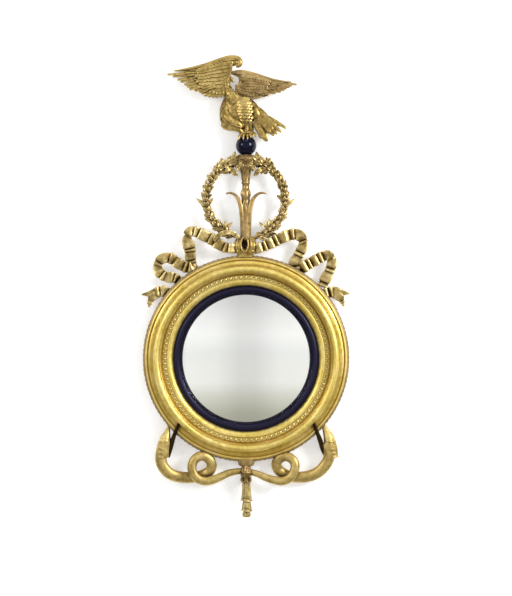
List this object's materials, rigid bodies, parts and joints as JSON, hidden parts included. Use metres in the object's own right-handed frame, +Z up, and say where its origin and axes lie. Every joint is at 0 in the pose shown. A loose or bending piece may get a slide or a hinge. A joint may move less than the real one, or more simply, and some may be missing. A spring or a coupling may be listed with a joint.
{
  "type": "girandole mirror",
  "caption": "Round convex wall mirror in a moulded gilt frame with a ribbon and laurel crest, a spread eagle on a ball, and serpents with a tassel below.",
  "frame": {"origin": "centre of the round frame on its flat back, the wall plane", "axes": "+Z up towards the eagle, +Y into the wall, -Y towards the viewer, +X to the viewer's right"},
  "size_m": [0.549, 0.062, 1.2147],
  "materials": {
    "gilt_wood": "gold leaf over gesso, worn and toned in the hollows",
    "ebonised_wood": "ebonised and polished",
    "black_lacquer": "turned, black lacquer, gloss",
    "pine": "bare aged softwood",
    "clear_glass": "blown convex plate, polished",
    "silvering": "old tin silvering",
    "wrought_iron": "dark forged iron",
    "steel_screw": "dull steel",
    "brass_hanger": "aged brass"
  },
  "bodies": {
    "mirror": {"apron_screws": "wrought_iron", "apron_strap": "wrought_iron", "backboard": "pine", "backboard_screws": "steel_screw", "ball": "black_lacquer", "bow_left": "gilt_wood", "bow_right": "gilt_wood", "clasp": "gilt_wood", "convex_glass": "clear_glass", "crest_rod": "wrought_iron", "crest_screws": "wrought_iron", "crest_strap": "wrought_iron", "drop_pin": "wrought_iron", "eagle_body": "gilt_wood", "eagle_pins": "wrought_iron", "eagle_tail": "gilt_wood", "eagle_wing_left": "gilt_wood", "eagle_wing_right": "gilt_wood", "ebonised_slip": "ebonised_wood", "edge_band": "gilt_wood", "frame_back_ring": "pine", "frame_moulding": "gilt_wood", "glass_blocks": "pine", "hanger_plate_left": "brass_hanger", "hanger_plate_right": "brass_hanger", "hanger_screws": "brass_hanger", "jaw_pins": "wrought_iron", "knot": "gilt_wood", "leaf_band": "gilt_wood", "ribbon_left_inner": "gilt_wood", "ribbon_left_outer": "gilt_wood", "ribbon_left_tail": "gilt_wood", "ribbon_pins": "wrought_iron", "ribbon_right_inner": "gilt_wood", "ribbon_right_outer": "gilt_wood", "ribbon_right_tail": "gilt_wood", "serpent_left": "gilt_wood", "serpent_right": "gilt_wood", "silvering": "silvering", "stem": "gilt_wood", "stem_leaf_left": "gilt_wood", "stem_leaf_right": "gilt_wood", "tassel_block": "gilt_wood", "tassel_drop": "gilt_wood", "tassel_gather": "gilt_wood", "wreath_left": "gilt_wood", "wreath_right": "gilt_wood"},
    "ring_left": {"hanger_ring_left": "brass_hanger"},
    "ring_right": {"hanger_ring_right": "brass_hanger"}
  },
  "joints": [
    {"name": "hanger_left_swing", "type": "hinge", "parent": "mirror", "child": "ring_left", "pos_m": [-0.045, -0.0057, 0.23755], "axis": [1, 0, 0], "range_deg": [0, 180]},
    {"name": "hanger_right_swing", "type": "hinge", "parent": "mirror", "child": "ring_right", "pos_m": [0.045, -0.0057, 0.23755], "axis": [1, 0, 0], "range_deg": [0, 180]}
  ]
}
